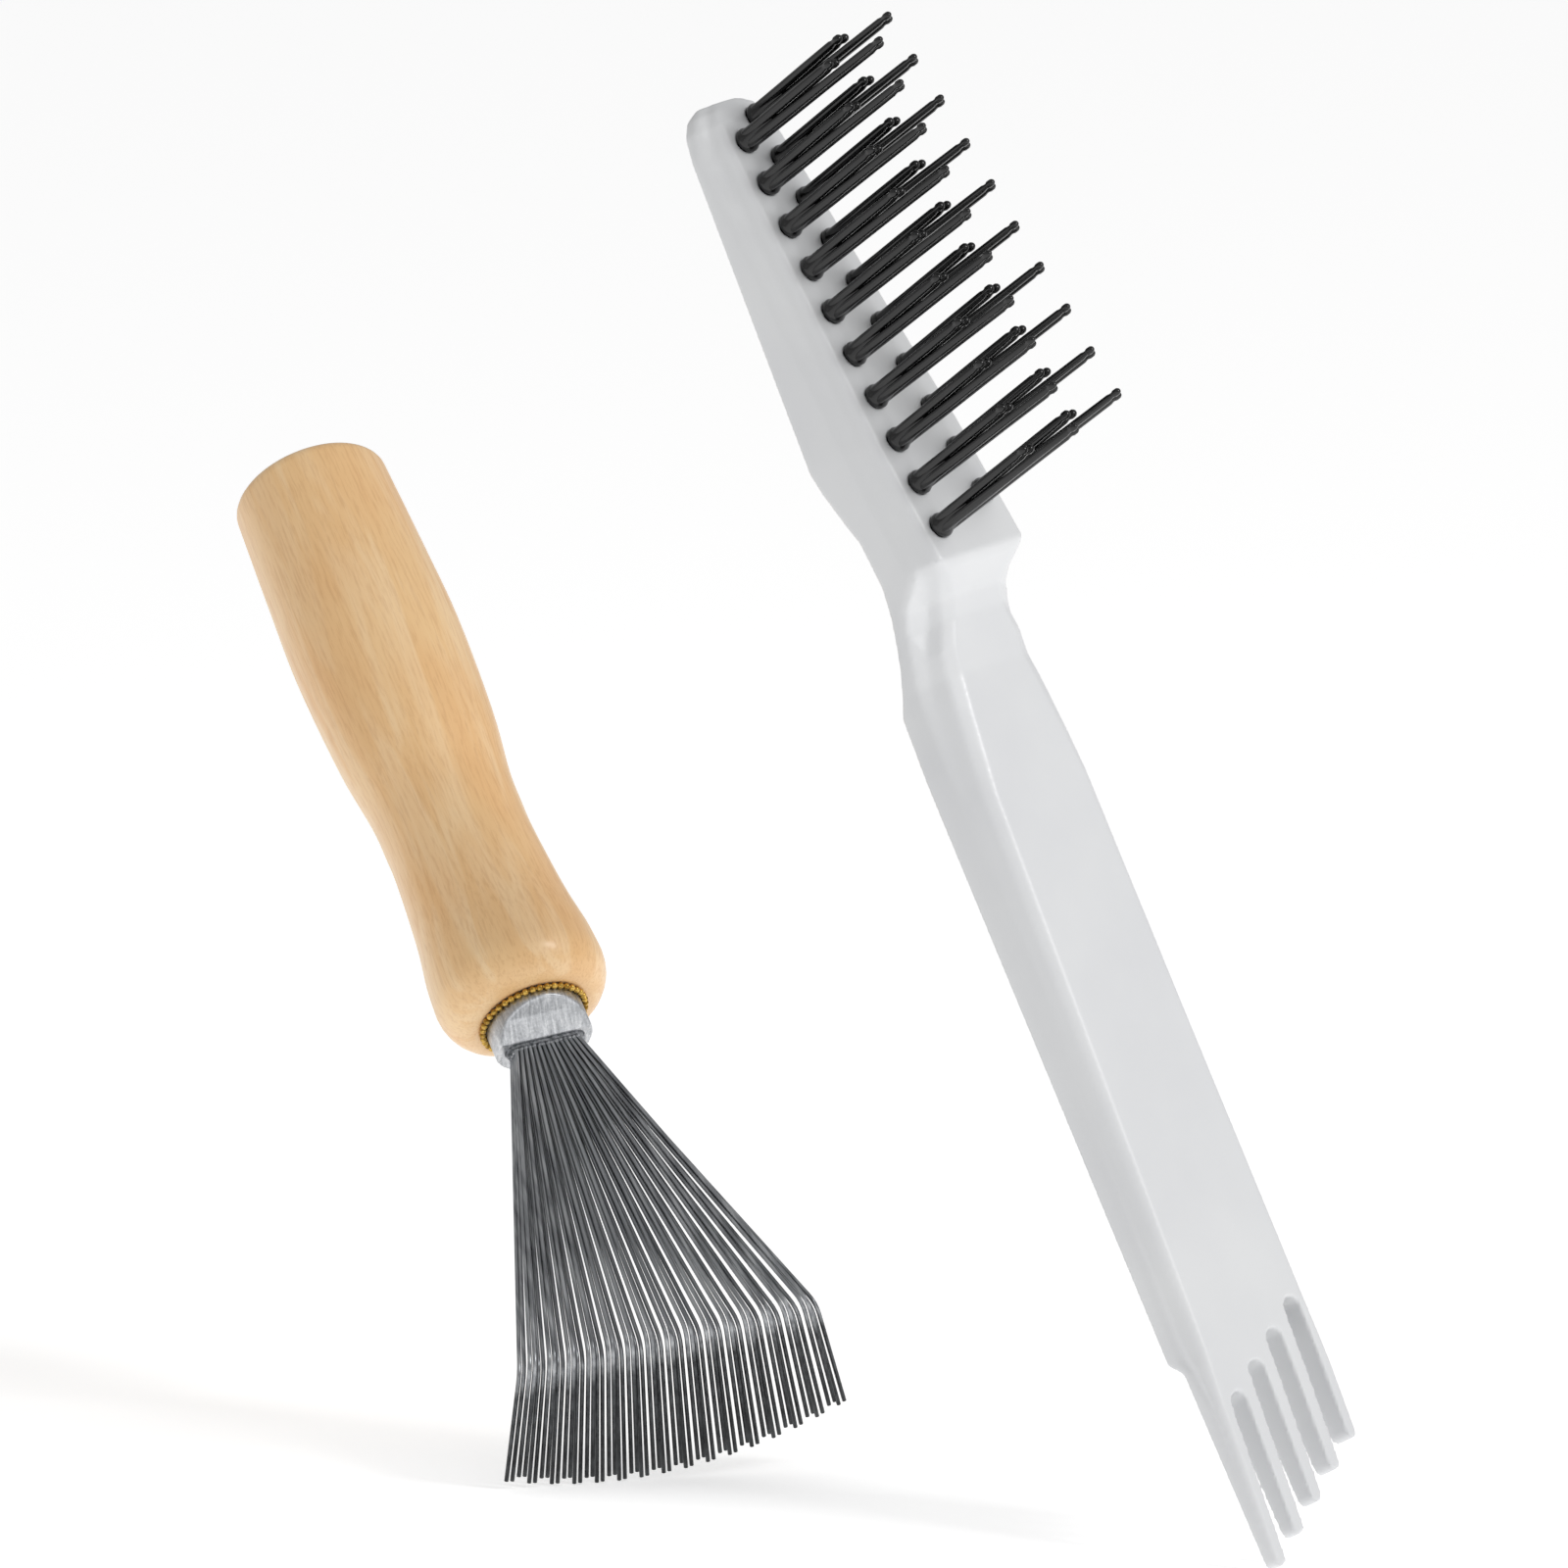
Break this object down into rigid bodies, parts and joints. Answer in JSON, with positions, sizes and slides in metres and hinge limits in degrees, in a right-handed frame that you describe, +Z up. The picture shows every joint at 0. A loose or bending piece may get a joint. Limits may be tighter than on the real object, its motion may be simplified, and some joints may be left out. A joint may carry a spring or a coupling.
{
  "type": "hand brush cleaning tool set",
  "caption": "Comb and hairbrush cleaning set: a white tufted hand brush with a fork end, and a wooden-handled rake with a fan of bent steel wires.",
  "frame": {"origin": "the point inside the brush handle that a hand's grip closes round, 110 mm along the brush from the tip of its head, on its centre line and 3.5 mm above its flat back", "axes": "+Z up, with both tools leaning and standing on their tips on one level; +X to the right and -Y toward the viewer, so the brush stands to the right of the rake and the tips of both lean toward -Y"},
  "size_m": [0.1254, 0.1349, 0.1692],
  "materials": {
    "white_plastic": "gloss",
    "black_nylon": "satin",
    "anchor_steel": "bare",
    "wood": "satin varnish",
    "ferrule_metal": "bright, crimped",
    "brass_ring": "beaded",
    "solder": "dull",
    "steel_wire": "drawn"
  },
  "bodies": {
    "tuft_brush": {"brush_body": "white_plastic", "tuft_front_01": "black_nylon", "tuft_front_02": "black_nylon", "tuft_front_03": "black_nylon", "tuft_front_04": "black_nylon", "tuft_front_05": "black_nylon", "tuft_front_06": "black_nylon", "tuft_front_07": "black_nylon", "tuft_front_08": "black_nylon", "tuft_front_09": "black_nylon", "tuft_front_10": "black_nylon", "tuft_back_01": "black_nylon", "tuft_back_02": "black_nylon", "tuft_back_03": "black_nylon", "tuft_back_04": "black_nylon", "tuft_back_05": "black_nylon", "tuft_back_06": "black_nylon", "tuft_back_07": "black_nylon", "tuft_back_08": "black_nylon", "tuft_back_09": "black_nylon", "tuft_back_10": "black_nylon", "tuft_anchors": "anchor_steel"},
    "wire_rake": {"wood_handle": "wood", "ferrule": "ferrule_metal", "collar_ring": "brass_ring", "wire_solder": "solder", "wire_01": "steel_wire", "wire_02": "steel_wire", "wire_03": "steel_wire", "wire_04": "steel_wire", "wire_05": "steel_wire", "wire_06": "steel_wire", "wire_07": "steel_wire", "wire_08": "steel_wire", "wire_09": "steel_wire", "wire_10": "steel_wire", "wire_11": "steel_wire", "wire_12": "steel_wire", "wire_13": "steel_wire", "wire_14": "steel_wire", "wire_15": "steel_wire", "wire_16": "steel_wire", "wire_17": "steel_wire", "wire_18": "steel_wire", "wire_19": "steel_wire", "wire_20": "steel_wire", "wire_21": "steel_wire", "wire_22": "steel_wire", "wire_23": "steel_wire", "wire_24": "steel_wire", "wire_25": "steel_wire", "wire_26": "steel_wire", "wire_27": "steel_wire", "wire_28": "steel_wire", "wire_29": "steel_wire", "wire_30": "steel_wire", "wire_31": "steel_wire"}
  },
  "joints": [
    {"name": "rake_lift", "type": "slide", "parent": "tuft_brush", "child": "wire_rake", "axis": [0, 0, 1], "range_m": [0, 0.08]}
  ]
}
